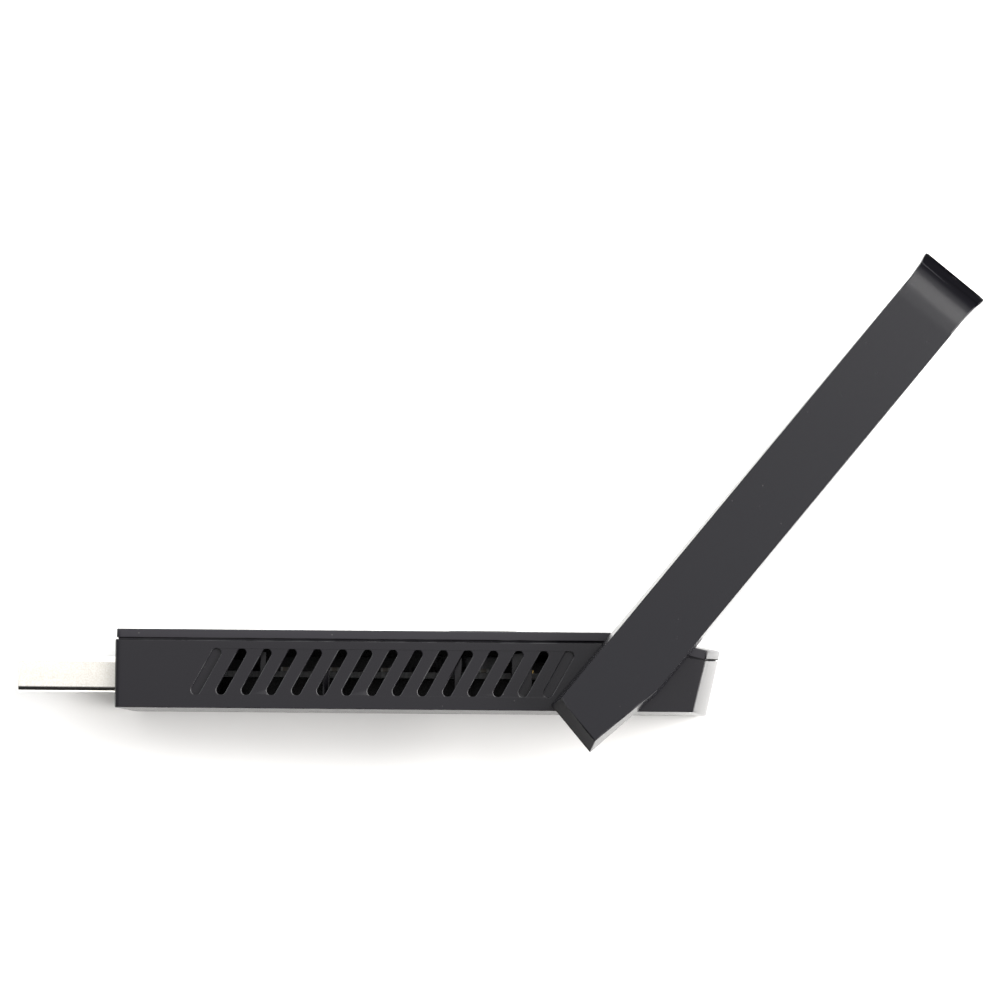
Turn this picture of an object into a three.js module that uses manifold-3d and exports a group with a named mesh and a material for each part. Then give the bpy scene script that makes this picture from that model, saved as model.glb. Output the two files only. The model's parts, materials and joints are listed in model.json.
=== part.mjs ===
// USB wifi adapter with a swing-out antenna arm, lying on its side.
// Millimetres. +X runs from the USB plug to the far end, +Y from the underside to the top cover,
// +Z from the flat side that it lies on to the side that carries the antenna arm.
// The origin is on the flat side, under the middle of the housing.
import * as THREE from "three";
import { mergeVertices } from "three/addons/utils/BufferGeometryUtils.js";
import Module from "manifold-3d";

const wasm = await Module();
wasm.setup();

// ---- driving dimensions ----
const X_USB = -38.6; // the housing's end at the plug
const X_FAR = 38.85;
const Y_TOP = 5.3;
const Y_BOTTOM = -5.45;
const BODY_DEPTH = 21;
const WALL = 1.3;
const GAP = 0.2; // parting line and other assembly gaps
const LOOSE = 0.3; // gap around a piece that lies inside another

const TOP_SLOPE = THREE.MathUtils.degToRad(10.75); // slope of the top towards the far end
const END_SLOPE = THREE.MathUtils.degToRad(12.2); // lean of the far end
const KNEE_X = 27; // where the top starts to slope
const COVER_STRIP = 1.4; // height of the top cover's edge
const SWELL_Z = 3; // depth at which the housing is fullest
const END_SWELL = 2.15; // how far the far end swells beyond the antenna side
const BOTTOM_SWELL = 0.58;
const TOP_SWELL = 0.17;
const REST_ROUND = 0.4; // rounding of the edges round the flat side
const REST_ROUND_DEPTH = 1;
const USB_CORNER = { radius: 1.4, sharpFrom: 14, sharpen: 0.85 }; // underside corner at the plug's end
const COVER_SETBACK = 0.25; // the cover's end stands back from the lower housing's
const LIP = { inset: 0.4, depth: 0.45, clearance: 0.12 }; // the cover's rim inside the housing wall

const PIVOT = { x: KNEE_X, y: 0 };
const ARM_REST_ANGLE = THREE.MathUtils.degToRad(50.8);
const ARM_GAP = 0.3; // running gap between the housing and the arm
const ARM_TIP = 64.5; // pivot to tip
const ARM_HEEL = 8.15; // pivot to heel on the lower edge
const ARM_BELOW = 4.8; // pivot axis to the edge that lies at the underside when shut
const ARM_ABOVE = 3.8;
const ARM_THICK_HEEL = 5;
const ARM_THICK_TIP = 3.6;
const ARM_WALL = 0.9;
const ARM_PLATE = 1.1; // inner plate of the arm

const SLOT_COUNT = 15;
const SLOT_PITCH = 3.196;
const SLOT_FIRST_X = X_USB + 11.65;
const SLOT_Y = -0.22;
const SLOT_WIDTH = 1.18;
const SLOT_SPAN = 5.34; // between the centres of its round ends
const SLOT_ANGLE = THREE.MathUtils.degToRad(61.4);
const BLIND_DEPTH = 0.45;
const BAND_DEPTH = 0.06; // shallow band that the slots stand in

const USB = { y: -0.7, z: BODY_DEPTH / 2, width: 12, thick: 4.5, out: 12.85, inside: 5, sheet: 0.3 };
const USB_CORNER_OUT = 0.7; // rounding of the plug shell's long edges, outside
const USB_CORNER_IN = 0.3;
const PLUG_STEP = 0.1; // the shell is this much slimmer on each side inside the housing
const USB_END_ROUND = 0.8; // rounding of the housing's upright edges at the plug's end
const BOARD = { x0: -33.2, x1: 21, y0: -0.85, y1: -0.1, z0: 1.9, z1: 16.4 };

// ---- colours ----
const material = (color, roughness, metalness = 0) =>
  new THREE.MeshStandardMaterial({ color, roughness, metalness });
const BLACK_SHELL = material(0x0f0f10, 0.35);
const BLACK_COVER = material(0x121213, 0.3);
const NICKEL = material(0xd9d4c8, 0.35, 1);
const TIN = material(0xb8bbbd, 0.4, 1);
const BLACKENED = material(0x2a2b2c, 0.5, 1);
const GOLD = material(0xd8a93c, 0.3, 1);
const COPPER = material(0xb8673a, 0.35, 1);
const STEEL = material(0x8f9295, 0.35, 1);
const BOARD_DARK = material(0x1a1c1e, 0.5);
const CHIP_BLACK = material(0x1a1a1c, 0.6);
const CERAMIC = material(0x4a3c2c, 0.5);
const PAD_GREY = material(0x8c9096, 0.9);
const COAX_BLACK = material(0x161616, 0.6);
const TONGUE_WHITE = material(0xe6e4de, 0.5);
const CLEAR = material(0xdfe6ea, 0.1);

// ---- solids ----
function solid(geometry) {
  const bare = geometry.index ? geometry.toNonIndexed() : geometry.clone();
  bare.deleteAttribute("normal");
  bare.deleteAttribute("uv");
  const merged = mergeVertices(bare, 1e-4);
  const mesh = new wasm.Mesh({
    numProp: 3,
    vertProperties: new Float32Array(merged.attributes.position.array),
    triVerts: new Uint32Array(merged.index.array),
  });
  return new wasm.Manifold(mesh);
}

function geometryOf(body) {
  const mesh = body.getMesh();
  const geometry = new THREE.BufferGeometry();
  geometry.setAttribute("position", new THREE.BufferAttribute(new Float32Array(mesh.vertProperties), 3));
  geometry.setIndex(new THREE.BufferAttribute(new Uint32Array(mesh.triVerts), 1));
  geometry.computeVertexNormals();
  return geometry;
}

const union = (bodies) => bodies.reduce((whole, body) => whole.add(body));
const cut = (body, tools) => tools.reduce((rest, tool) => rest.subtract(tool), body);

function box(x0, x1, y0, y1, z0, z1) {
  const geometry = new THREE.BoxGeometry(x1 - x0, y1 - y0, z1 - z0);
  geometry.translate((x0 + x1) / 2, (y0 + y1) / 2, (z0 + z1) / 2);
  return solid(geometry);
}

// A shape drawn in XY and pulled along Z.
function alongZ(shape, z0, z1, steps = 1, curveSegments = 6) {
  const settings = { depth: z1 - z0, bevelEnabled: false, steps, curveSegments };
  const geometry = new THREE.ExtrudeGeometry(shape, settings);
  geometry.translate(0, 0, z0);
  return geometry;
}

// A shape drawn in YZ and pulled along X.
function alongX(shape, x0, x1, curveSegments = 5) {
  const geometry = alongZ(shape, x0, x1, 1, curveSegments);
  const turn = new THREE.Matrix4().makeBasis(
    new THREE.Vector3(0, 1, 0),
    new THREE.Vector3(0, 0, 1),
    new THREE.Vector3(1, 0, 0),
  );
  return geometry.applyMatrix4(turn);
}

// A shape drawn in ZX and pulled along Y.
function alongY(shape, y0, y1, curveSegments = 5) {
  const geometry = alongZ(shape, y0, y1, 1, curveSegments);
  const turn = new THREE.Matrix4().makeBasis(
    new THREE.Vector3(0, 0, 1),
    new THREE.Vector3(1, 0, 0),
    new THREE.Vector3(0, 1, 0),
  );
  return geometry.applyMatrix4(turn);
}

// A closed outline from corners [x, y, radius], counter-clockwise, each side moved in by inset.
function outline(corners, inset = 0) {
  const points = corners.map(([x, y]) => new THREE.Vector2(x, y));
  const count = points.length;
  const at = (i) => points[(i + count) % count];
  const inward = (i) => {
    const along = at(i + 1).clone().sub(at(i)).normalize();
    return new THREE.Vector2(-along.y, along.x);
  };
  const moved = points.map((point, i) => {
    const before = inward(i - 1);
    const after = inward(i);
    const share = inset / (1 + before.dot(after));
    return point.clone().addScaledVector(before, share).addScaledVector(after, share);
  });
  const shape = new THREE.Shape();
  moved.forEach((point, i) => {
    const previous = moved[(i - 1 + count) % count];
    const next = moved[(i + 1) % count];
    const radius = Math.max(corners[i][2] - inset, 0);
    const toPrevious = previous.clone().sub(point).normalize();
    const toNext = next.clone().sub(point).normalize();
    const half = toPrevious.angleTo(toNext) / 2;
    const back = radius / Math.tan(half);
    const start = point.clone().addScaledVector(toPrevious, back);
    const end = point.clone().addScaledVector(toNext, back);
    if (i === 0) {
      shape.moveTo(start.x, start.y);
    } else {
      shape.lineTo(start.x, start.y);
    }
    if (radius > 0) {
      shape.quadraticCurveTo(point.x, point.y, end.x, end.y);
    }
  });
  shape.closePath();
  return shape;
}

function rectangle(x0, x1, y0, y1, radius = 0) {
  return outline([[x0, y0, radius], [x1, y0, radius], [x1, y1, radius], [x0, y1, radius]]);
}

function disc(x, y, radius) {
  const shape = new THREE.Shape();
  shape.absarc(x, y, radius, 0, Math.PI * 2);
  return shape;
}

function cylinder(x, y, radius, z0, z1, curveSegments = 12) {
  return solid(alongZ(disc(x, y, radius), z0, z1, 1, curveSegments));
}

// A standing cylinder, its axis along Y.
function post(x, z, radius, y0, y1, curveSegments = 8) {
  return solid(alongY(disc(z, x, radius), y0, y1, curveSegments));
}

// A turned piece about the Z axis, from [radius, z] points.
function turned(points, segments = 28) {
  const profile = points.map(([radius, z]) => new THREE.Vector2(radius, z));
  profile.push(profile[0].clone());
  const geometry = new THREE.LatheGeometry(profile, segments);
  geometry.rotateX(Math.PI / 2);
  return solid(geometry);
}

// A round wire or lead through the given points.
function wire(points, radius, steps) {
  const path = new THREE.CatmullRomCurve3(points.map(([x, y, z]) => new THREE.Vector3(x, y, z)));
  const settings = { steps, extrudePath: path, curveSegments: 2 };
  return new THREE.ExtrudeGeometry(disc(0, 0, radius), settings);
}

function named(name, shape, finish) {
  const mesh = new THREE.Mesh(shape.isBufferGeometry ? shape : geometryOf(shape), finish);
  mesh.name = name;
  return mesh;
}

// ---- housing outline ----
const DEPTH_LAYERS = 14;
const LAYER_CROWDING = 1.7;
const TOP_DROP = (X_FAR - KNEE_X) * Math.tan(TOP_SLOPE);
const END_TOP_Y = Y_TOP - TOP_DROP;
const END_LEAN = (END_TOP_Y - Y_BOTTOM) * Math.tan(END_SLOPE);
const HOUSING_CORNERS = [
  [X_USB, Y_BOTTOM, USB_CORNER.radius],
  [X_FAR - END_LEAN, Y_BOTTOM, 0.35],
  [X_FAR, END_TOP_Y, 0.35],
  [KNEE_X, Y_TOP, 1.5],
  [X_USB, Y_TOP, 0.4],
];

// Draws a form in towards the antenna side, and rounds it towards the flat side.
function drawnIn(geometry, inset) {
  const position = geometry.attributes.position;
  const cornerX = X_USB + inset;
  const cornerY = Y_BOTTOM + inset;
  for (let i = 0; i < position.count; i += 1) {
    const z = position.getZ(i);
    let x = position.getX(i);
    let y = position.getY(i);
    const pull = ((z - SWELL_Z) / (BODY_DEPTH - SWELL_Z)) ** 2;
    const fall = THREE.MathUtils.clamp(1 - z / REST_ROUND_DEPTH, 0, 1);
    const round = REST_ROUND * (1 - Math.sqrt(1 - fall * fall));
    if (x < X_USB + USB_CORNER.radius && y < Y_BOTTOM + USB_CORNER.radius) {
      const share = (z - USB_CORNER.sharpFrom) / (BODY_DEPTH - USB_CORNER.sharpFrom);
      const sharp = USB_CORNER.sharpen * THREE.MathUtils.clamp(share, 0, 1);
      x = THREE.MathUtils.lerp(x, cornerX, sharp);
      y = THREE.MathUtils.lerp(y, cornerY, sharp);
    }
    const endShare = THREE.MathUtils.clamp((x - KNEE_X) / (X_FAR - END_LEAN - KNEE_X), 0, 1);
    const swell = y > 0 ? TOP_SWELL * (y / Y_TOP) : BOTTOM_SWELL * (y / -Y_BOTTOM);
    position.setX(i, x - (END_SWELL * pull + round) * endShare);
    position.setY(i, y - swell * pull - round * (y / Y_TOP));
  }
  return geometry;
}

// Moves the layers of an extrusion so that they crowd towards the flat side, where it rounds.
function crowdLayers(geometry, z0, z1) {
  const position = geometry.attributes.position;
  for (let i = 0; i < position.count; i += 1) {
    const share = (position.getZ(i) - z0) / (z1 - z0);
    position.setZ(i, z0 + (z1 - z0) * Math.max(share, 0) ** LAYER_CROWDING);
  }
  return geometry;
}

// The housing's outer form, or a copy of it inset all round, between two depths.
// A raised copy has a higher top, for cutting out what is open upwards.
function housingForm(inset, z0, z1, raise = 0) {
  const corners = HOUSING_CORNERS.map(([x, y, radius]) => {
    const lean = x > KNEE_X ? raise * Math.tan(END_SLOPE) : 0;
    return y > 0 ? [x + lean, y + raise, radius] : [x, y, radius];
  });
  const geometry = alongZ(outline(corners, inset), z0, z1, DEPTH_LAYERS);
  return solid(drawnIn(crowdLayers(geometry, z0, z1), inset));
}

// The whole housing with its upright edges at the plug's end rounded.
function housingBlock() {
  const reach = 10;
  const plan = outline([
    [0, X_USB, USB_END_ROUND],
    [BODY_DEPTH, X_USB, USB_END_ROUND],
    [BODY_DEPTH, X_FAR + reach, 0],
    [0, X_FAR + reach, 0],
  ]);
  return housingForm(0, 0, BODY_DEPTH).intersect(solid(alongY(plan, -reach, reach)));
}

// Everything above a line that runs under the top at the given depth, follows its slope, and is drawn
// in with the housing, so that it stays level across the far end.
function aboveSeam(depthBelowTop) {
  const flatY = Y_TOP - depthBelowTop;
  const kneeX = KNEE_X - depthBelowTop * Math.tan(TOP_SLOPE / 2);
  const endX = X_FAR - END_LEAN;
  const endY = flatY - (endX - kneeX) * Math.tan(TOP_SLOPE);
  const reach = 20;
  const corners = [
    [X_USB - reach, flatY, 0],
    [kneeX, flatY, 0],
    [endX, endY, 0],
    [endX + reach, endY - reach * Math.tan(TOP_SLOPE), 0],
    [endX + reach, Y_TOP + reach, 0],
    [X_USB - reach, Y_TOP + reach, 0],
  ];
  const geometry = alongZ(outline(corners), 0, BODY_DEPTH, DEPTH_LAYERS);
  return solid(drawnIn(crowdLayers(geometry, 0, BODY_DEPTH), 0));
}

const Z_NEAR_INNER = BODY_DEPTH - WALL;

// ---- top cover features ----
const BUTTON = { x: 8, z: 13.6, length: 9, width: 4.4, travel: 0.3 };
const LED = { x: -26, z: 10.5, radius: 0.9 };

function stadium(x, z, length, width) {
  const half = length / 2 - width / 2;
  const shape = new THREE.Shape();
  shape.absarc(z, x + half, width / 2, 0, Math.PI);
  shape.absarc(z, x - half, width / 2, Math.PI, 2 * Math.PI);
  shape.closePath();
  return shape;
}

// ---- housing pieces ----
const SCREWS = [
  { x: -27.5, z: 14.2 },
  { x: 17.5, z: 4.4 },
];
// Upright pillars on the inside of the slotted wall; place counts in slots from the first.
const PILLAR = { top: 2.4, deep: 0.9 };
const PILLARS = [
  { place: 2.23, width: 0.85 },
  { place: 4.74, width: 0.95 },
  { place: 9.99, width: 0.95 },
  { place: 12.53, width: 2.65 },
];
const BUSH_RADIUS = 2.8;
const PIVOT_RADIUS = 2.4;
const PIVOT_BORE = 1.3;

function slot(index, z0, z1) {
  const along = SLOT_SPAN / 2;
  const shape = new THREE.Shape();
  shape.absarc(along, 0, SLOT_WIDTH / 2, -Math.PI / 2, Math.PI / 2);
  shape.absarc(-along, 0, SLOT_WIDTH / 2, Math.PI / 2, (3 * Math.PI) / 2);
  shape.closePath();
  const geometry = alongZ(shape, z0, z1, 1, 8);
  geometry.rotateZ(SLOT_ANGLE);
  geometry.translate(SLOT_FIRST_X + index * SLOT_PITCH, SLOT_Y, 0);
  return solid(geometry);
}

function lowerHousing() {
  const floorY = Y_BOTTOM + WALL;
  const outer = housingBlock();
  const hollow = housingForm(WALL, WALL, Z_NEAR_INNER, 2);
  const rimInset = LIP.inset - LIP.clearance;
  const rimRoom = housingForm(rimInset, rimInset, BODY_DEPTH - rimInset, 2).intersect(
    aboveSeam(COVER_STRIP + LIP.depth + LIP.clearance),
  );
  const tray = cut(outer, [aboveSeam(COVER_STRIP), hollow, rimRoom]);

  const pillars = PILLARS.map(({ place, width }) => {
    const x = SLOT_FIRST_X + place * SLOT_PITCH;
    const z0 = Z_NEAR_INNER - PILLAR.deep;
    return box(x - width / 2, x + width / 2, floorY - 0.2, PILLAR.top, z0, Z_NEAR_INNER + 0.2);
  });
  const bosses = SCREWS.map(({ x, z }) => post(x, z, 1.8, floorY - 0.2, BOARD.y0 - GAP));
  const pilots = SCREWS.map(({ x, z }) => post(x, z, 0.9, floorY + 0.4, BOARD.y0));

  const slots = Array.from({ length: SLOT_COUNT }, (_, index) => {
    const blind = index === 0 || index === SLOT_COUNT - 1;
    return slot(index, blind ? BODY_DEPTH - BLIND_DEPTH : Z_NEAR_INNER - 0.5, BODY_DEPTH + 1);
  });
  const lastSlotX = SLOT_FIRST_X + (SLOT_COUNT - 1) * SLOT_PITCH;
  const halfHeight = (SLOT_SPAN * Math.sin(SLOT_ANGLE) + SLOT_WIDTH) / 2;
  const shift = halfHeight / Math.tan(SLOT_ANGLE);
  const bandShape = outline([
    [SLOT_FIRST_X - shift, SLOT_Y - halfHeight, 0],
    [lastSlotX - shift, SLOT_Y - halfHeight, 0],
    [lastSlotX + shift, SLOT_Y + halfHeight, 0],
    [SLOT_FIRST_X + shift, SLOT_Y + halfHeight, 0],
  ]);
  const band = solid(alongZ(bandShape, BODY_DEPTH - BAND_DEPTH, BODY_DEPTH + 1));
  const plugHole = box(
    X_USB - 1,
    X_USB + WALL + 1,
    USB.y - USB.thick / 2 - GAP,
    USB.y + USB.thick / 2 + GAP,
    USB.z - USB.width / 2 - GAP,
    USB.z + USB.width / 2 + GAP,
  );
  const pivotHole = cylinder(PIVOT.x, PIVOT.y, BUSH_RADIUS + 0.1, Z_NEAR_INNER - 1, BODY_DEPTH + 1);
  const whole = union([tray, ...pillars, ...bosses]);
  return cut(whole, [...pilots, ...slots, band, plugHole, pivotHole]);
}

function topCover() {
  const seamInside = COVER_STRIP - GAP;
  const setback = box(X_USB - 1, X_USB + COVER_SETBACK, 0, Y_TOP + 1, -1, BODY_DEPTH + 1);
  const roof = housingBlock().intersect(aboveSeam(seamInside)).subtract(setback);
  const lip = housingForm(LIP.inset, LIP.inset, BODY_DEPTH - LIP.inset, 2)
    .intersect(aboveSeam(COVER_STRIP + LIP.depth))
    .subtract(housingForm(WALL, WALL, Z_NEAR_INNER, 2))
    .subtract(aboveSeam(seamInside - 0.2));
  const buttonHole = solid(
    alongY(stadium(BUTTON.x, BUTTON.z, BUTTON.length + 2 * GAP, BUTTON.width + 2 * GAP), 0, Y_TOP + 1, 8),
  );
  const lightHole = post(LED.x, LED.z, LED.radius + GAP, 0, Y_TOP + 1);
  return cut(roof.add(lip), [buttonHole, lightHole]);
}

function mainBoard() {
  const shape = new THREE.Shape();
  shape.moveTo(BOARD.z0, BOARD.x0);
  shape.lineTo(BOARD.z1, BOARD.x0);
  shape.lineTo(BOARD.z1, BOARD.x1 - 3);
  shape.lineTo(BOARD.z1 - 3, BOARD.x1);
  shape.lineTo(BOARD.z0, BOARD.x1);
  shape.closePath();
  const holes = SCREWS.map(({ x, z }) => post(x, z, 0.9, BOARD.y0 - 1, BOARD.y1 + 1));
  return cut(solid(alongY(shape, BOARD.y0, BOARD.y1)), holes);
}

// Rectangular sheet tube with rounded edges, open at both ends, with the four latch windows.
function plugShell() {
  const x0 = X_USB - USB.out;
  const x1 = X_USB + USB.inside;
  const section = (inset, radius) =>
    rectangle(
      USB.y - USB.thick / 2 + inset,
      USB.y + USB.thick / 2 - inset,
      USB.z - USB.width / 2 + inset,
      USB.z + USB.width / 2 - inset,
      radius,
    );
  const outside = solid(alongX(section(0, USB_CORNER_OUT), x0, X_USB - PLUG_STEP));
  const rear = solid(alongX(section(PLUG_STEP, USB_CORNER_OUT - PLUG_STEP), X_USB - 1, x1));
  const inside = solid(alongX(section(USB.sheet, USB_CORNER_IN), x0 - 1, x1 + 1));
  const tube = outside.add(rear).subtract(inside);
  const windowX = x0 + 5.2;
  const windows = [-1, 1].map((side) => {
    const z = USB.z + side * 2.85;
    return box(windowX, windowX + 2.2, USB.y - 5, USB.y + 5, z - 1.25, z + 1.25);
  });
  return cut(tube, windows);
}

const TONGUE_Y0 = USB.y - USB.thick / 2 + USB.sheet + 0.1;
const TONGUE_Y1 = TONGUE_Y0 + 1.6;
const CONTACT_PLACES = [-3.5, -1, 1, 3.5];

function plugTongue() {
  const inner = USB.width / 2 - USB.sheet - 0.1;
  const x0 = X_USB - USB.out + 0.6;
  const x1 = X_USB + USB.inside - 0.4;
  const plate = box(x0, x1, TONGUE_Y0, TONGUE_Y1, USB.z - inner, USB.z + inner);
  const rearBlock = box(
    X_USB - 0.5,
    x1,
    TONGUE_Y1 - 0.1,
    USB.y + USB.thick / 2 - USB.sheet - 0.1,
    USB.z - inner,
    USB.z + inner,
  );
  const grooves = CONTACT_PLACES.map((place) => {
    const z = USB.z + place;
    return box(x0 + 0.8, x1 + 1, TONGUE_Y1 - 0.35, TONGUE_Y1 + 0.15, z - 0.6, z + 0.6);
  });
  return cut(plate.add(rearBlock), grooves);
}

function plugContact(place) {
  const z = USB.z + place;
  const x0 = X_USB - USB.out + 1.6;
  const x1 = BOARD.x0 - LOOSE;
  return box(x0, x1, TONGUE_Y1 - 0.28, TONGUE_Y1 - 0.04, z - 0.5, z + 0.5);
}

// ---- parts on the board ----
const ON_BOARD = BOARD.y1 + 0.05;
const CAN = { x0: -20, x1: -3, z0: 3, z1: 12.5, height: 1.9, sheet: 0.25 };
const CHIP = { x: -11.5, z: 7.8, size: 7, height: 0.9 };

function shieldCan() {
  const top = ON_BOARD + CAN.height;
  const outer = box(CAN.x0, CAN.x1, ON_BOARD, top, CAN.z0, CAN.z1);
  const s = CAN.sheet;
  const inner = box(CAN.x0 + s, CAN.x1 - s, ON_BOARD - 1, top - s, CAN.z0 + s, CAN.z1 - s);
  return outer.subtract(inner);
}

function blockOnBoard(x, z, lengthX, lengthZ, height) {
  return box(x - lengthX / 2, x + lengthX / 2, ON_BOARD, ON_BOARD + height, z - lengthZ / 2, z + lengthZ / 2);
}

function thermalPad() {
  const y0 = ON_BOARD + CHIP.height + 0.1;
  const y1 = ON_BOARD + CAN.height - CAN.sheet - 0.1;
  const half = CHIP.size / 2 - 0.3;
  return box(CHIP.x - half, CHIP.x + half, y0, y1, CHIP.z - half, CHIP.z + half);
}

// A stamped strip that stands on two feet and folds over the edge of the board.
function innerAntenna() {
  const x0 = 1.5;
  const x1 = 10.5;
  const z = 3;
  const sheet = 0.3;
  const top = ON_BOARD + 2.2;
  const wall = box(x0, x1, ON_BOARD + 0.7, top, z, z + sheet);
  const roof = box(x0, x1, top - sheet, top, z, z + 2.4);
  const feet = [x0, x0 + 2.2].map((x) => box(x, x + 0.8, ON_BOARD, ON_BOARD + 0.8, z, z + sheet));
  return union([wall, roof, ...feet]);
}

const CONNECTOR = { x: 13.2, z: 9.2 };

function coaxSocket() {
  const base = blockOnBoard(CONNECTOR.x, CONNECTOR.z, 2.6, 2.6, 0.35);
  const rim = post(CONNECTOR.x, CONNECTOR.z, 1, ON_BOARD + 0.3, ON_BOARD + 1.1, 10);
  return base.add(rim).subtract(post(CONNECTOR.x, CONNECTOR.z, 0.75, ON_BOARD + 0.4, ON_BOARD + 2, 10));
}

const COAX_RADIUS = 0.5;
const COAX_Y = ON_BOARD + 1.85;
const COAX_SPLIT_Z = 20;

function coaxPlug() {
  const y0 = ON_BOARD + 1.2;
  return post(CONNECTOR.x, CONNECTOR.z, 1.25, y0, y0 + 1.15, 10);
}

function coaxInHousing() {
  const start = CONNECTOR.x + 1.25 + LOOSE;
  const route = [
    [start, COAX_Y, CONNECTOR.z],
    [start + 2.5, COAX_Y, CONNECTOR.z],
    [start + 6.5, COAX_Y * 0.8, 9.6],
    [PIVOT.x - 2.2, COAX_Y * 0.3, 10.9],
    [PIVOT.x - 0.3, 0, 13.6],
    [PIVOT.x, 0, 17],
    [PIVOT.x, 0, COAX_SPLIT_Z - LOOSE / 2],
  ];
  return wire(route, COAX_RADIUS, 28);
}

function screwPiece({ x, z }) {
  const head = post(x, z, 1.4, BOARD.y1 + GAP, BOARD.y1 + GAP + 0.7, 10);
  const shank = post(x, z, 0.65, Y_BOTTOM + WALL + 0.9, BOARD.y1 + GAP + 0.1, 8);
  const recess = [0, 1].map((turn) => {
    const reach = [0.75, 0.14];
    const dx = reach[turn];
    const dz = reach[1 - turn];
    return box(x - dx, x + dx, BOARD.y1 + GAP + 0.35, BOARD.y1 + 2, z - dz, z + dz);
  });
  return cut(head.add(shank), recess);
}

// ---- button, switch and light ----
const SWITCH_HEIGHT = 1.9;
const PLUNGER_TOP = ON_BOARD + SWITCH_HEIGHT + 0.5;

function buttonCap() {
  const top = Y_TOP - 0.02;
  const cap = solid(alongY(stadium(BUTTON.x, BUTTON.z, BUTTON.length, BUTTON.width), top - 1.4, top, 8));
  const lugs = box(
    BUTTON.x - BUTTON.length / 2 - 0.6,
    BUTTON.x + BUTTON.length / 2 + 0.6,
    top - 1.9,
    top - 1.35,
    BUTTON.z - 1.2,
    BUTTON.z + 1.2,
  );
  const stem = box(
    BUTTON.x - 0.8,
    BUTTON.x + 0.8,
    PLUNGER_TOP + BUTTON.travel + 0.05,
    top - 1.3,
    BUTTON.z - 0.8,
    BUTTON.z + 0.8,
  );
  return union([cap, lugs, stem]);
}

function tactSwitch() {
  const body = blockOnBoard(BUTTON.x, BUTTON.z, 4.2, 3.2, SWITCH_HEIGHT);
  return body.add(post(BUTTON.x, BUTTON.z, 0.8, ON_BOARD + SWITCH_HEIGHT - 0.1, PLUNGER_TOP));
}

function lightPipe() {
  const head = post(LED.x, LED.z, LED.radius, ON_BOARD + 1.1, Y_TOP - 0.05, 10);
  const collar = post(LED.x, LED.z, LED.radius + 0.6, Y_TOP - WALL - 0.9, Y_TOP - WALL - 0.25, 10);
  return head.add(collar);
}

// ---- hinge pieces, about the pivot axis ----
const BUSH_FLANGE_Z = Z_NEAR_INNER - 0.05;

function pivotBush() {
  const bore = PIVOT_RADIUS + 0.1;
  const flange = BUSH_RADIUS + 0.35;
  return turned([
    [bore, BUSH_FLANGE_Z - 0.5],
    [flange, BUSH_FLANGE_Z - 0.5],
    [flange, BUSH_FLANGE_Z],
    [BUSH_RADIUS, BUSH_FLANGE_Z],
    [BUSH_RADIUS, BODY_DEPTH - 0.1],
    [bore, BODY_DEPTH - 0.1],
  ]);
}

const WASHER_Z = BUSH_FLANGE_Z - 0.5 - 0.45;
const CLIP_Z = WASHER_Z - 0.6;
const PIVOT_FOOT_Z = CLIP_Z - 0.7;

// ---- antenna arm: u from the pivot to the tip, v to the underside edge, w away from the housing ----
const armThickness = (u) => {
  const share = THREE.MathUtils.clamp((u + ARM_HEEL) / (ARM_TIP + ARM_HEEL), 0, 1);
  return THREE.MathUtils.lerp(ARM_THICK_HEEL, ARM_THICK_TIP, share);
};
const TIP_FLARE = 0.47;
const FLARE_LENGTH = 3.4;
const HEEL_LEAN = 1.48;
const HEEL_TOP = -1.86; // v of the heel's upper corner
const HEEL_DRAFT = 1.48;
const EDGE_DRAFT_HEEL = 0.5;
const EDGE_DRAFT_TIP = 0.08;

function armOutline(inset) {
  const flareStart = ARM_TIP - FLARE_LENGTH;
  const curve = ARM_TIP - FLARE_LENGTH * 0.4;
  return outline(
    [
      [-ARM_HEEL - HEEL_LEAN, HEEL_TOP, 0.2],
      [0.25, -ARM_ABOVE, 0],
      [flareStart, -ARM_ABOVE, 0],
      [curve, -ARM_ABOVE - TIP_FLARE * 0.35, 0],
      [ARM_TIP, -ARM_ABOVE - TIP_FLARE, 0.25],
      [ARM_TIP, ARM_BELOW + TIP_FLARE, 0.25],
      [curve, ARM_BELOW + TIP_FLARE * 0.35, 0],
      [flareStart, ARM_BELOW, 0],
      [-ARM_HEEL, ARM_BELOW, 0.2],
    ],
    inset,
  );
}

// The arm's form between two heights given as shares of its thickness, with drafted walls.
function armForm(inset, w0, w1) {
  const geometry = alongZ(armOutline(inset), 0, 1, 1, 4);
  const position = geometry.attributes.position;
  for (let i = 0; i < position.count; i += 1) {
    const u = position.getX(i);
    const v = position.getY(i);
    const thickness = armThickness(u);
    const w = position.getZ(i) > 0.5 ? w1(thickness) : w0;
    const open = 1 - w / thickness;
    const share = THREE.MathUtils.clamp((u + ARM_HEEL) / (ARM_TIP + ARM_HEEL), 0, 1);
    const edge = THREE.MathUtils.lerp(EDGE_DRAFT_HEEL, EDGE_DRAFT_TIP, share) * open;
    const heel = THREE.MathUtils.clamp(-u / ARM_HEEL, 0, 1) * HEEL_DRAFT * open;
    position.setXYZ(i, u - heel, v + Math.sign(v) * edge, w);
  }
  return solid(geometry);
}

const NOSE_LENGTH = 3.6; // solid end of the arm
// The finger lip at the tip: distances from the tip and heights above the plain face.
const LIP_PROFILE = [
  [7.5, 0.02],
  [5, -0.03],
  [4, -0.08],
  [3, -0.14],
  [2.4, -0.16],
  [1.8, -0.11],
  [1.2, 0.06],
  [0.65, 0.28],
  [0, 0.58],
];
const LIP_HEIGHT = 0.8;
const LIP_LENGTH = 2.4; // the stretch at the tip in which the lip rises
const PIN_FLANGE_W = ARM_PLATE + 0.1;

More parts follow.
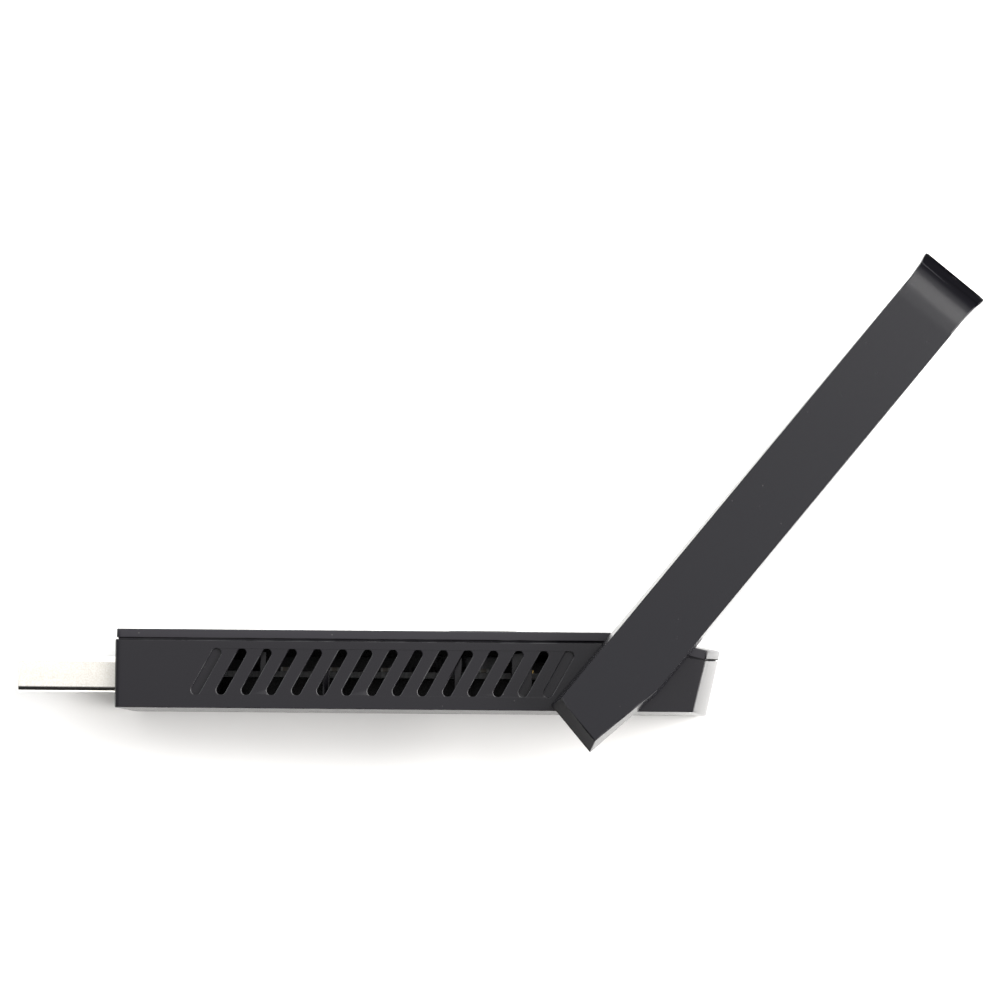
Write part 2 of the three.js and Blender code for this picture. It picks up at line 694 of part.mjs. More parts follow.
// The air over the tip: the face sinks gently, then sweeps up to the lip.
function overTheLip() {
  const curve = new THREE.SplineCurve(
    LIP_PROFILE.map(([back, height]) => {
      const u = ARM_TIP - back;
      return new THREE.Vector2(u, armThickness(u) + height);
    }),
  );
  const points = curve.getPoints(24);
  const top = ARM_THICK_TIP + 3;
  const end = points[points.length - 1];
  const outward = new THREE.Vector2(end.x + 0.5, end.y + 0.2);
  const shape = new THREE.Shape([
    ...points,
    outward,
    new THREE.Vector2(outward.x, top),
    new THREE.Vector2(points[0].x, top),
  ]);
  const geometry = alongZ(shape, -10, 10);
  geometry.rotateX(Math.PI / 2);
  return solid(geometry);
}

function armOuterShell() {
  const plain = armForm(0, 0, (thickness) => thickness);
  const lipStart = ARM_TIP - LIP_LENGTH;
  const raised = armForm(0, 0, (thickness) => thickness + LIP_HEIGHT);
  const lip = raised.intersect(box(lipStart, ARM_TIP + 1, -8, 8, -1, 8));
  const outer = plain.add(lip).subtract(overTheLip());
  const hollow = armForm(ARM_WALL, -0.5, (thickness) => thickness - ARM_WALL);
  const tipBlock = armForm(0.01, 0.2, (thickness) => thickness - 0.3);
  const nose = tipBlock.intersect(box(ARM_TIP - NOSE_LENGTH, ARM_TIP + 1, -8, 8, 0, 5));
  return outer.subtract(hollow).add(nose);
}

function armInnerPlate() {
  const plate = armForm(ARM_WALL + LOOSE, 0.05, () => ARM_PLATE);
  const short = box(-20, ARM_TIP - NOSE_LENGTH - LOOSE, -10, 10, -1, 3);
  const ribs = [16, 30, 44].map((u) => box(u, u + 0.8, -2.2, 3.2, ARM_PLATE - 0.1, ARM_PLATE + 0.5));
  const pinHole = cylinder(0, 0, PIVOT_RADIUS + 0.1, -1, 3);
  return cut(union([plate.intersect(short), ...ribs]), [pinHole]);
}

function pivotTube() {
  const down = -(BODY_DEPTH + ARM_GAP);
  const clipFloor = PIVOT_RADIUS - 0.35;
  const flange = PIVOT_RADIUS + 0.6;
  return turned([
    [PIVOT_BORE, PIVOT_FOOT_Z + down],
    [PIVOT_RADIUS, PIVOT_FOOT_Z + down],
    [PIVOT_RADIUS, CLIP_Z - 0.1 + down],
    [clipFloor, CLIP_Z - 0.1 + down],
    [clipFloor, CLIP_Z + 0.4 + down],
    [PIVOT_RADIUS, CLIP_Z + 0.4 + down],
    [PIVOT_RADIUS, PIN_FLANGE_W],
    [flange, PIN_FLANGE_W],
    [flange, PIN_FLANGE_W + 0.6],
    [PIVOT_BORE, PIN_FLANGE_W + 0.6],
  ]);
}

// A thin ring with three shallow waves, so that it presses on the bush.
function frictionWasher() {
  const bore = PIVOT_RADIUS + 0.1;
  const rim = BUSH_RADIUS + 0.3;
  const shape = disc(0, 0, rim);
  shape.holes.push(disc(0, 0, bore));
  const down = WASHER_Z - BODY_DEPTH - ARM_GAP;
  const geometry = alongZ(shape, down, down + 0.2, 1, 24);
  const position = geometry.attributes.position;
  for (let i = 0; i < position.count; i += 1) {
    const angle = Math.atan2(position.getY(i), position.getX(i));
    position.setZ(i, position.getZ(i) + 0.1 * Math.cos(3 * angle));
  }
  return solid(geometry);
}

// An open ring that snaps into the groove of the pivot tube.
function retainingClip() {
  const down = CLIP_Z - BODY_DEPTH - ARM_GAP;
  const shape = new THREE.Shape();
  const opening = 0.55;
  const bore = PIVOT_RADIUS - 0.25;
  const rim = BUSH_RADIUS + 0.2;
  shape.absarc(0, 0, rim, opening, 2 * Math.PI - opening);
  shape.absarc(0, 0, bore, 2 * Math.PI - opening, opening, true);
  shape.closePath();
  return solid(alongZ(shape, down, down + 0.3, 1, 20));
}

const ELEMENT_W = ARM_PLATE + 0.9;

function antennaBoard() {
  return box(8, 58, -2, 3, ARM_PLATE + 0.6, ELEMENT_W - 0.1 + 0.2);
}

// A flat dipole: two legs joined by a narrow neck.
function antennaElement() {
  const w0 = ELEMENT_W + 0.15;
  const w1 = w0 + 0.15;
  const stem = box(12, 30, 0.2, 0.8, w0, w1);
  const nearLeg = box(12, 17, -1.6, 2.6, w0, w1);
  const farLeg = box(29, 55, -1.2, 2.2, w0, w1);
  const foldedEnd = box(49, 56, -1.7, 2.7, w0, w1);
  return union([stem, nearLeg, farLeg, foldedEnd]);
}

function coaxInArm() {
  const start = COAX_SPLIT_Z + LOOSE / 2 - BODY_DEPTH - ARM_GAP;
  const route = [
    [0, 0, start],
    [0, 0, 0.4],
    [0.35, 0, 1.75],
    [1.6, 0.2, 2.75],
    [4, 0.5, 3.05],
    [7.5, 0.5, 3.05],
    [11.5, 0.5, 3.05],
  ];
  return wire(route, COAX_RADIUS, 26);
}

// ---- assembly ----
const group = new THREE.Group();

const housing = new THREE.Group();
housing.add(
  named("lower_housing", lowerHousing(), BLACK_SHELL),
  named("top_cover", topCover(), BLACK_COVER),
  named("main_board", mainBoard(), BOARD_DARK),
  named("usb_plug_shell", plugShell(), NICKEL),
  named("usb_plug_tongue", plugTongue(), TONGUE_WHITE),
  named("rf_shield_can", shieldCan(), BLACKENED),
  named("wifi_chip", blockOnBoard(CHIP.x, CHIP.z, CHIP.size, CHIP.size, CHIP.height), CHIP_BLACK),
  named("thermal_pad", thermalPad(), PAD_GREY),
  named("crystal", blockOnBoard(-23.5, 6, 2.5, 2, 0.7), TIN),
  named("power_inductor", blockOnBoard(-23.5, 12.2, 3, 3, 1.4), CHIP_BLACK),
  named("inner_antenna", innerAntenna(), TIN),
  named("coax_socket", coaxSocket(), GOLD),
  named("coax_plug", coaxPlug(), GOLD),
  named("coax_in_housing", coaxInHousing(), COAX_BLACK),
  named("status_led", blockOnBoard(LED.x, LED.z, 1.2, 1.6, 0.7), TONGUE_WHITE),
  named("light_pipe", lightPipe(), CLEAR),
  named("tact_switch", tactSwitch(), TIN),
  named("pivot_bush", pivotBush().translate([PIVOT.x, PIVOT.y, 0]), STEEL),
);
CONTACT_PLACES.forEach((place, i) => {
  housing.add(named(`usb_contact_${i + 1}`, plugContact(place), GOLD));
});
[0.2, 5.6].forEach((x, i) => {
  housing.add(named(`front_end_module_${i + 1}`, blockOnBoard(x, 8, 3, 3, 0.75), CHIP_BLACK));
});
[-17.2, -10.9, -4.4, 8.2].forEach((x, i) => {
  housing.add(named(`edge_capacitor_${i + 1}`, blockOnBoard(x, 15.7, 1.2, 0.7, 0.5), CERAMIC));
});
SCREWS.forEach((place, i) => {
  housing.add(named(`board_screw_${i + 1}`, screwPiece(place), STEEL));
});

const button = new THREE.Group();
button.add(named("pairing_button", buttonCap(), BLACK_COVER));

const arm = new THREE.Group();
arm.position.set(PIVOT.x, PIVOT.y, BODY_DEPTH + ARM_GAP);
arm.rotation.z = ARM_REST_ANGLE;
arm.add(
  named("arm_outer_shell", armOuterShell(), BLACK_SHELL),
  named("arm_inner_plate", armInnerPlate(), BLACK_SHELL),
  named("pivot_tube", pivotTube(), STEEL),
  named("friction_washer", frictionWasher(), STEEL),
  named("retaining_clip", retainingClip(), STEEL),
  named("antenna_board", antennaBoard(), BOARD_DARK),
  named("antenna_element", antennaElement(), COPPER),
  named("coax_in_arm", coaxInArm(), COAX_BLACK),
);

group.add(housing, button, arm);

export default group;
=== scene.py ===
import json
import math

import bmesh
import bpy
from mathutils import Euler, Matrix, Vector


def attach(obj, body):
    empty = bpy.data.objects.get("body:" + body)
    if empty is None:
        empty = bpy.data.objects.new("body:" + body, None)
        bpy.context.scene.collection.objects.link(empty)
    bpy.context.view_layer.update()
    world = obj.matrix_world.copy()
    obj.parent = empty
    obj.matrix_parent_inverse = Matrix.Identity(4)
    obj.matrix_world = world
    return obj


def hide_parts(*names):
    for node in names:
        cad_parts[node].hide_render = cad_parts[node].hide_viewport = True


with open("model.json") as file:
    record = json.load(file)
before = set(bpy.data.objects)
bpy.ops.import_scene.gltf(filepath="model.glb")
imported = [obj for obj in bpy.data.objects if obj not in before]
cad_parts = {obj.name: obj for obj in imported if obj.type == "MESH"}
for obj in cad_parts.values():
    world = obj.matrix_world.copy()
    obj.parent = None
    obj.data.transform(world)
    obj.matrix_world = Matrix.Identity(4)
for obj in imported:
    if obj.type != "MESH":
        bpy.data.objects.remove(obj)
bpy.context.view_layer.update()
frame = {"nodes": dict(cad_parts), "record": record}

MM = 0.001
MICRON = 0.000001
NODES = frame["nodes"]
SCENE = bpy.context.scene


# ---- camera, floor and light ----

CAMERA_PLACE = Vector((19.6, -2.8, 528.2)) * MM
CAMERA_TURN = Euler((math.radians(2.789), math.radians(1.041), math.radians(0.5)))
SENSOR_WIDTH = 36.0
FOCAL_RATIO = 4.0


def make_camera():
    data = bpy.data.cameras.new("product_camera")
    data.sensor_width = SENSOR_WIDTH
    data.lens = SENSOR_WIDTH * FOCAL_RATIO
    data.clip_start = 0.01
    data.clip_end = 10.0
    camera = bpy.data.objects.new("product_camera", data)
    camera.location = CAMERA_PLACE
    camera.rotation_euler = CAMERA_TURN
    SCENE.collection.objects.link(camera)
    SCENE.camera = camera


# Name, place and size in metres, power, colour.
SOFTBOXES = (
    ("key_softbox", (0.5, 0.5, 1.0), (0.5, 0.5), 12.0, (1.0, 0.99, 0.97)),
    ("right_softbox", (0.85, 0.0, 0.5), (0.7, 0.5), 21.0, (1.0, 0.98, 0.95)),
    ("left_softbox", (-0.8, 0.45, 0.6), (0.5, 0.5), 3.0, (0.97, 0.98, 1.0)),
)
ROOM_BEARING = (0.3, 0.95)  # the side of the room that is bright, in the table's plane
ROOM_EDGE = (-0.3, 0.12)  # where, along that bearing, the dark part turns into the bright part
ROOM_DARK = 0.03
ROOM_BRIGHT = 1.75
BACKDROP = 0.9  # how bright the room looks behind the table
OVERHEAD = {"from": 0.97, "to": 1.0, "share": 0.75}  # a patch of shade straight above
FLOOR_REACH = 3.0  # from the middle of the table to its edges, in metres
FLOOR_WHITE = (0.9, 0.9, 0.9, 1.0)


def soft_light(name, place, size, power, colour):
    data = bpy.data.lights.new(name, "AREA")
    data.shape = "RECTANGLE"
    data.size, data.size_y = size
    data.energy = power
    data.color = colour
    light = bpy.data.objects.new(name, data)
    light.location = place
    light.rotation_euler = (-Vector(place)).to_track_quat("-Z", "Y").to_euler()
    SCENE.collection.objects.link(light)


def make_world():
    """A white room, bright behind the adapter and dark in front, that looks pale all round."""
    world = bpy.data.worlds.new("studio")
    SCENE.world = world
    world.use_nodes = True
    tree = world.node_tree
    tree.nodes.clear()
    parts = tree.nodes.new("ShaderNodeSeparateXYZ")
    tree.links.new(tree.nodes.new("ShaderNodeTexCoord").outputs["Generated"], parts.inputs[0])
    across = math_node(tree, "MULTIPLY", parts.outputs["X"], ROOM_BEARING[0])
    along = math_node(tree, "MULTIPLY", parts.outputs["Y"], ROOM_BEARING[1])
    bearing = math_node(tree, "ADD", across, along)
    room = smooth_spread(tree, bearing, *ROOM_EDGE, ROOM_DARK, ROOM_BRIGHT)
    shade = (OVERHEAD["from"], OVERHEAD["to"], 1.0, OVERHEAD["share"])
    overhead = smooth_spread(tree, parts.outputs["Z"], *shade)
    light = math_node(tree, "MULTIPLY", room, overhead)
    seen = tree.nodes.new("ShaderNodeLightPath").outputs["Is Camera Ray"]
    cast = math_node(tree, "MULTIPLY", light, math_node(tree, "SUBTRACT", 1.0, seen))
    backdrop = math_node(tree, "MULTIPLY", seen, BACKDROP)
    background = tree.nodes.new("ShaderNodeBackground")
    tree.links.new(math_node(tree, "ADD", cast, backdrop), background.inputs["Strength"])
    out = tree.nodes.new("ShaderNodeOutputWorld")
    tree.links.new(background.outputs["Background"], out.inputs["Surface"])


def make_floor():
    mesh = bpy.data.meshes.new("table_top")
    shape = bmesh.new()
    bmesh.ops.create_grid(shape, x_segments=1, y_segments=1, size=FLOOR_REACH)
    shape.to_mesh(mesh)
    shape.free()
    floor = bpy.data.objects.new("table_top", mesh)
    SCENE.collection.objects.link(floor)
    finish = bpy.data.materials.new("white_table")
    finish.use_nodes = True
    surface = finish.node_tree.nodes["Principled BSDF"]
    surface.inputs["Base Color"].default_value = FLOOR_WHITE
    surface.inputs["Roughness"].default_value = 0.7
    surface.inputs["Specular IOR Level"].default_value = 0.2
    mesh.materials.append(finish)


# ---- shared shader groups ----

# How many features of each kind there are along a metre.
GRAIN_SCALE = 7000.0
PATCH_SCALE = 160.0
RUB_SCALE = 420.0
SPECK_SCALE = 900.0
SPECK_CLUSTER_SCALE = 800.0
DRAWN_LINE_SCALE = 9000.0
PLATING_SCALE = 5200.0

NOISE_MIDDLE = 0.5
RUBBED_FROM = (0.42, 0.72)  # the noise where an edge starts to be rubbed, and where it is fully rubbed
SPECK_RIM = (0.10, 0.04)  # from the rim of a speck to where it is solid
SPECK_CHOICE = (0.58, 0.66)  # the noise above which a speck is kept
LINE_STRETCH = (0.03, 1.0, 1.0)  # drawing lines are long along X


def new_group(name, inputs, outputs):
    """A shader group with (name, kind, value) inputs and (name, kind) outputs, and its two end nodes."""
    tree = bpy.data.node_groups.new(name, "ShaderNodeTree")
    for socket, kind, value in inputs:
        item = tree.interface.new_socket(socket, in_out="INPUT", socket_type="NodeSocket" + kind)
        item.default_value = value
    for socket, kind in outputs:
        tree.interface.new_socket(socket, in_out="OUTPUT", socket_type="NodeSocket" + kind)
    return tree, tree.nodes.new("NodeGroupInput"), tree.nodes.new("NodeGroupOutput")


def math_node(tree, operation, first, second):
    node = tree.nodes.new("ShaderNodeMath")
    node.operation = operation
    for socket, value in zip(node.inputs, (first, second)):
        if isinstance(value, (int, float)):
            socket.default_value = value
        else:
            tree.links.new(value, socket)
    return node.outputs[0]


def object_place(tree):
    return tree.nodes.new("ShaderNodeTexCoord").outputs["Object"]


def noise(tree, place, scale, detail=2.0, stretch=None):
    """Noise over the piece's own place; scale is in features per metre and may be a socket."""
    if stretch is not None:
        mapping = tree.nodes.new("ShaderNodeMapping")
        mapping.inputs["Scale"].default_value = stretch
        tree.links.new(place, mapping.inputs["Vector"])
        place = mapping.outputs["Vector"]
    node = tree.nodes.new("ShaderNodeTexNoise")
    node.inputs["Detail"].default_value = detail
    tree.links.new(place, node.inputs["Vector"])
    if isinstance(scale, (int, float)):
        node.inputs["Scale"].default_value = scale
    else:
        tree.links.new(scale, node.inputs["Scale"])
    return node.outputs["Fac"]


def spread(tree, value, low, high, out_low=0.0, out_high=1.0):
    node = tree.nodes.new("ShaderNodeMapRange")
    node.inputs["From Min"].default_value = low
    node.inputs["From Max"].default_value = high
    node.inputs["To Min"].default_value = out_low
    node.inputs["To Max"].default_value = out_high
    tree.links.new(value, node.inputs["Value"])
    return node.outputs["Result"]


def smooth_spread(tree, value, low, high, out_low=0.0, out_high=1.0):
    result = spread(tree, value, low, high, out_low, out_high)
    result.node.interpolation_type = "SMOOTHSTEP"
    return result


def moulded_grain_group():
    """Fine spark-eroded grain of a mould: a height and a slow change of gloss."""
    tree, start, end = new_group(
        "moulded_grain",
        [("Grain Scale", "Float", GRAIN_SCALE), ("Grain", "Float", 1.0), ("Patches", "Float", 0.03)],
        [("Height", "Float"), ("Gloss Change", "Float")],
    )
    place = object_place(tree)
    fine = noise(tree, place, start.outputs["Grain Scale"], 3.0)
    patches = noise(tree, place, PATCH_SCALE, 4.0)
    tree.links.new(math_node(tree, "MULTIPLY", fine, start.outputs["Grain"]), end.inputs["Height"])
    swing = math_node(tree, "SUBTRACT", patches, NOISE_MIDDLE)
    grainy = math_node(tree, "MULTIPLY", math_node(tree, "SUBTRACT", fine, NOISE_MIDDLE), 0.25)
    both = math_node(tree, "ADD", math_node(tree, "MULTIPLY", swing, start.outputs["Patches"]), grainy)
    tree.links.new(both, end.inputs["Gloss Change"])
    return tree


def edge_wear_and_highlight_group():
    """Where rounded edges have been rubbed, and on the arm a painted highlight along them: 1 on the edge,
    broken up by noise.
    """
    tree, start, end = new_group("edge_wear_and_highlight", [("Amount", "Float", 1.0)], [("Wear And Highlight", "Float")])
    edge = tree.nodes.new("ShaderNodeAttribute")
    edge.attribute_name = "rounded_edge"
    rubbed_and_highlit = spread(tree, noise(tree, object_place(tree), RUB_SCALE, 5.0), *RUBBED_FROM)
    worn = math_node(tree, "MULTIPLY", edge.outputs["Fac"], rubbed_and_highlit)
    tree.links.new(math_node(tree, "MULTIPLY", worn, start.outputs["Amount"]), end.inputs["Wear And Highlight"])
    return tree


def dust_group():
    """A sparse scatter of tiny pale specks."""
    tree, start, end = new_group("dust", [("Amount", "Float", 1.0)], [("Specks", "Float")])
    cells = tree.nodes.new("ShaderNodeTexVoronoi")
    cells.inputs["Scale"].default_value = SPECK_SCALE
    tree.links.new(object_place(tree), cells.inputs["Vector"])
    near = spread(tree, cells.outputs["Distance"], *SPECK_RIM)
    clusters = noise(tree, object_place(tree), SPECK_CLUSTER_SCALE, 1.0)
    chosen = spread(tree, clusters, *SPECK_CHOICE)
    specks = math_node(tree, "MULTIPLY", near, chosen)
    tree.links.new(math_node(tree, "MULTIPLY", specks, start.outputs["Amount"]), end.inputs["Specks"])
    return tree


def drawn_metal_group():
    """Fine lines of drawn or rolled sheet along X, and the mottle of its plating."""
    tree, start, end = new_group(
        "drawn_metal",
        [("Lines", "Float", 1.0), ("Mottle", "Float", 1.0)],
        [("Height", "Float"), ("Gloss Change", "Float"), ("Tint", "Float")],
    )
    place = object_place(tree)
    lines = noise(tree, place, DRAWN_LINE_SCALE, 3.0, LINE_STRETCH)
    speckle = noise(tree, place, PLATING_SCALE, 2.0)
    tree.links.new(math_node(tree, "MULTIPLY", lines, start.outputs["Lines"]), end.inputs["Height"])
    speckled = math_node(tree, "SUBTRACT", speckle, NOISE_MIDDLE)
    mottled = math_node(tree, "MULTIPLY", speckled, start.outputs["Mottle"])
    lined = math_node(tree, "MULTIPLY", math_node(tree, "SUBTRACT", lines, NOISE_MIDDLE), 0.6)
    tree.links.new(math_node(tree, "ADD", mottled, lined), end.inputs["Gloss Change"])
    tree.links.new(speckle, end.inputs["Tint"])
    return tree


GROUPS = {}


def use_group(material, name, **values):
    node = material.node_tree.nodes.new("ShaderNodeGroup")
    node.node_tree = GROUPS[name]
    for socket, value in values.items():
        node.inputs[socket.replace("_", " ")].default_value = value
    return node.outputs


# ---- materials ----

DUST = (0.35, 0.34, 0.33)
USUAL_SHINE = 0.28
GRAIN_IN_GLOSS = 0.16  # how strongly the grain's change of gloss moves a plastic's roughness
RUB_IN_GLOSS = 0.12  # how much rougher a rubbed edge is
LINES_IN_GLOSS = 0.25  # and how strongly drawing lines and mottle move a metal's
PLATING_RUB = 0.7  # how far a metal's rounded edges are rubbed
PLATING_TINT = (0.3, 0.7)
MASK = (0.008, 0.009, 0.010)
MASK_OVER_TRACE = (0.018, 0.020, 0.021)
TRACE_WAVE = 260.0  # the scale of the wave whose crests are the traces
TRACE_EDGE = (0.62, 0.7)
# Painted shade: the capacitors inside the housing are painted far darker than tan ceramic and bright tin.
CERAMIC_IN_PAINTED_SHADE = (0.05, 0.04, 0.028)
TINNED_END_IN_PAINTED_SHADE = (0.12, 0.12, 0.118)
END_STARTS = (0.27, 0.3)  # how far from its middle a capacitor turns to tin, as a share of its length
LIGHT_GUIDE = (0.82, 0.88, 0.9, 1.0)


def new_material(name, roughness, metallic=0.0):
    material = bpy.data.materials.new(name)
    material.use_nodes = True
    surface = material.node_tree.nodes["Principled BSDF"]
    surface.inputs["Roughness"].default_value = roughness
    surface.inputs["Metallic"].default_value = metallic
    return material, surface


def add_bump(material, surface, height, distance):
    bump = material.node_tree.nodes.new("ShaderNodeBump")
    bump.inputs["Distance"].default_value = distance
    bump.inputs["Strength"].default_value = 1.0
    material.node_tree.links.new(height, bump.inputs["Height"])
    material.node_tree.links.new(bump.outputs["Normal"], surface.inputs["Normal"])


def mix_colour(material, share, first, second):
    node = material.node_tree.nodes.new("ShaderNodeMix")
    node.data_type = "RGBA"
    for socket, value in ((node.inputs[6], first), (node.inputs[7], second)):
        if isinstance(value, tuple):
            socket.default_value = (*value, 1.0)
        else:
            material.node_tree.links.new(value, socket)
    material.node_tree.links.new(share, node.inputs[0])
    return node.outputs[2]


def vary_roughness(material, surface, change, middle, swing, worn=None, worn_rise=0.0):
    tree = material.node_tree
    value = math_node(tree, "ADD", math_node(tree, "MULTIPLY", change, swing), middle)
    if worn is not None:
        value = math_node(tree, "ADD", value, math_node(tree, "MULTIPLY", worn, worn_rise))
    tree.links.new(value, surface.inputs["Roughness"])


def moulded_plastic(
    name, colour, worn, roughness, grain, dust=0.0, grain_scale=GRAIN_SCALE, shine=USUAL_SHINE
):
    """Plastic with a mould's grain, given in microns, paler on its rubbed edges, which on the arm is also
    a painted highlight, and some dust.
    """
    material, surface = new_material(name, roughness)
    tree = material.node_tree
    texture = use_group(material, "moulded_grain", Grain_Scale=grain_scale)
    rubbed_and_highlit = use_group(material, "edge_wear_and_highlight")["Wear And Highlight"]
    base = mix_colour(material, rubbed_and_highlit, colour, worn)
    if dust > 0.0:
        specks = use_group(material, "dust", Amount=dust)["Specks"]
        base = mix_colour(material, specks, base, DUST)
    tree.links.new(base, surface.inputs["Base Color"])
    gloss = texture["Gloss Change"]
    vary_roughness(material, surface, gloss, roughness, GRAIN_IN_GLOSS, rubbed_and_highlit, RUB_IN_GLOSS)
    add_bump(material, surface, texture["Height"], grain * MICRON)
    surface.inputs["Specular IOR Level"].default_value = shine
    return material


def plated_metal(name, colour, dark, roughness, lines, burnish):
    """Metal with drawing lines, given in microns, a mottled tint, and burnish in its bends' roughness."""
    material, surface = new_material(name, roughness, 1.0)
    tree = material.node_tree
    metal = use_group(material, "drawn_metal")
    worn = use_group(material, "edge_wear_and_highlight", Amount=PLATING_RUB)["Wear And Highlight"]
    tone = mix_colour(material, spread(tree, metal["Tint"], *PLATING_TINT), dark, colour)
    tree.links.new(mix_colour(material, worn, tone, dark), surface.inputs["Base Color"])
    bent = tree.nodes.new("ShaderNodeAttribute")
    bent.attribute_name = "bent_corner"
    gloss = metal["Gloss Change"]
    vary_roughness(material, surface, gloss, roughness, LINES_IN_GLOSS, bent.outputs["Fac"], burnish)
    add_bump(material, surface, metal["Height"], lines * MICRON)
    return material


def board_material():
    """Black solder mask over copper traces that run in lanes."""
    material, surface = new_material("solder_mask", 0.35)
    tree = material.node_tree
    place = object_place(tree)
    lanes = tree.nodes.new("ShaderNodeTexWave")
    lanes.inputs["Scale"].default_value = TRACE_WAVE
    lanes.inputs["Distortion"].default_value = 6.0
    lanes.inputs["Detail"].default_value = 0.0
    tree.links.new(place, lanes.inputs["Vector"])
    traces = spread(tree, lanes.outputs["Fac"], *TRACE_EDGE)
    mask = mix_colour(material, traces, MASK, MASK_OVER_TRACE)
    tree.links.new(mask, surface.inputs["Base Color"])
    grain = use_group(material, "moulded_grain", Grain_Scale=4000.0)
    vary_roughness(material, surface, grain["Gloss Change"], 0.35, 0.2)
    add_bump(material, surface, traces, 30 * MICRON)
    return material


def ceramic_material():
    """Chip capacitor: a ceramic body between two tinned ends, along X, both painted dark as painted shade
    inside the housing.
    """
    material, surface = new_material("chip_ceramic", 0.5)
    tree = material.node_tree
    parts = tree.nodes.new("ShaderNodeSeparateXYZ")
    generated = tree.nodes.new("ShaderNodeTexCoord").outputs["Generated"]
    tree.links.new(generated, parts.inputs[0])
    from_middle = math_node(tree, "ABSOLUTE", math_node(tree, "SUBTRACT", parts.outputs["X"], 0.5), 0.0)
    ends = spread(tree, from_middle, *END_STARTS)
    body_or_end = mix_colour(material, ends, CERAMIC_IN_PAINTED_SHADE, TINNED_END_IN_PAINTED_SHADE)
    tree.links.new(body_or_end, surface.inputs["Base Color"])
    tree.links.new(ends, surface.inputs["Metallic"])
    grain = use_group(material, "moulded_grain", Grain_Scale=9000.0)
    vary_roughness(material, surface, grain["Gloss Change"], 0.42, 0.2)
    add_bump(material, surface, grain["Height"], 10 * MICRON)
    return material


def clear_material():
    """The clear light guide that ends in the top cover, faintly grained."""
    material, surface = new_material("light_guide", 0.12)
    surface.inputs["Base Color"].default_value = LIGHT_GUIDE
    surface.inputs["Transmission Weight"].default_value = 0.6
    surface.inputs["IOR"].default_value = 1.49
    grain = use_group(material, "moulded_grain", Grain_Scale=5000.0, Grain=0.4)
    add_bump(material, surface, grain["Height"], 6 * MICRON)
    return material


BLACK = (0.0085, 0.0080, 0.0100)
ARM_BLACK = (0.0062, 0.0060, 0.0080)
COVER_BLACK = (0.0180, 0.0170, 0.0205)
# Painted shade: near black for the faces inside the seam between housing and cover.
PAINTED_SEAM_SHADE = (0.003, 0.003, 0.003)
RUBBED = (0.024, 0.024, 0.026)
# The arm's edges are painted paler still: rubbed wear and a painted highlight along its rounded edges.
ARM_RUBBED_AND_HIGHLIGHT = (0.045, 0.045, 0.048)

# Colour, colour of its rubbed edges (on the arm also a painted highlight), roughness, grain in microns,
# and what differs from the usual.
MOULDED = {
    "housing_plastic": (BLACK, RUBBED, 0.26, 0.6, {"dust": 0.15, "shine": 0.33}),
    "cover_plastic": (COVER_BLACK, RUBBED, 0.3, 0.8, {"dust": 0.15}),
    "arm_plastic": (ARM_BLACK, ARM_RUBBED_AND_HIGHLIGHT, 0.24, 0.5, {"dust": 0.15, "shine": 0.34}),
    "heel_plastic": (BLACK, RUBBED, 0.6, 2, {"dust": 0.15, "shine": 0.04}),
    "seam_painted_shade": (PAINTED_SEAM_SHADE, RUBBED, 0.9, 4, {"shine": 0.02}),
    "arm_back_plastic": (BLACK, RUBBED, 0.5, 12, {}),
    "button_plastic": ((0.016, 0.016, 0.017), RUBBED, 0.42, 10, {}),
    "white_plastic": ((0.78, 0.77, 0.73), (0.7, 0.69, 0.65), 0.5, 10, {}),
    "chip_black": ((0.02, 0.02, 0.021), RUBBED, 0.6, 10, {"grain_scale": 12000.0}),
    "thermal_rubber": ((0.3, 0.32, 0.34), RUBBED, 0.85, 20, {}),
    "coax_jacket": ((0.012, 0.012, 0.012), RUBBED, 0.55, 10, {}),
}
# Colour, colour where it is darkest, roughness, drawing lines in microns, and what its bends add to
# the roughness.
PLATED = {
    "plug_nickel": ((1.0, 0.98, 0.93), (0.88, 0.84, 0.76), 0.4, 3, -0.28),
    "contact_gold": ((0.9, 0.66, 0.28), (0.75, 0.5, 0.18), 0.25, 2, 0.0),
    # tinned_sheet and blackened_sheet are painted far darker than bright tin, as painted shade for the
    # parts inside the housing.
    "tinned_sheet": ((0.13, 0.13, 0.135), (0.09, 0.09, 0.095), 0.55, 4, 0.0),
    "blackened_sheet": ((0.045, 0.045, 0.046), (0.025, 0.025, 0.026), 0.5, 2, 0.0),
    "hinge_steel": ((0.55, 0.55, 0.56), (0.42, 0.42, 0.43), 0.3, 4, 0.0),
    "element_copper": ((0.82, 0.42, 0.25), (0.6, 0.28, 0.15), 0.35, 3, 0.0),
}


def make_materials():
    for build in (moulded_grain_group, edge_wear_and_highlight_group, dust_group, drawn_metal_group):
        tree = build()
        GROUPS[tree.name] = tree
    materials = {
        "clear_plastic": clear_material(),
        "board_dark": board_material(),
        "capacitor_ceramic": ceramic_material(),
    }
    for name, (colour, worn, roughness, grain, differs) in MOULDED.items():
        materials[name] = moulded_plastic(name, colour, worn, roughness, grain, **differs)
    for name, finish in PLATED.items():
        materials[name] = plated_metal(name, *finish)
    return materials


# ---- pieces ----

ARM_REST_ANGLE = math.radians(50.8)
SLOT_OF = {entry["node"]: entry["material_slot"] for entry in frame["record"]["subparts"]}
BODY_OF = {node: body for body, nodes in frame["record"]["behaviour"]["bodies"].items() for node in nodes}
# The pieces with moulded or pressed edges, and how far each is rounded, in millimetres.
ROUNDING = {
    "lower_housing": 0.12,
    "top_cover": 0.15,
    "arm_outer_shell": 0.18,
    "arm_inner_plate": 0.08,
    "usb_plug_shell": 0.05,
    "usb_plug_tongue": 0.06,
    "pairing_button": 0.2,
    "rf_shield_can": 0.06,
}
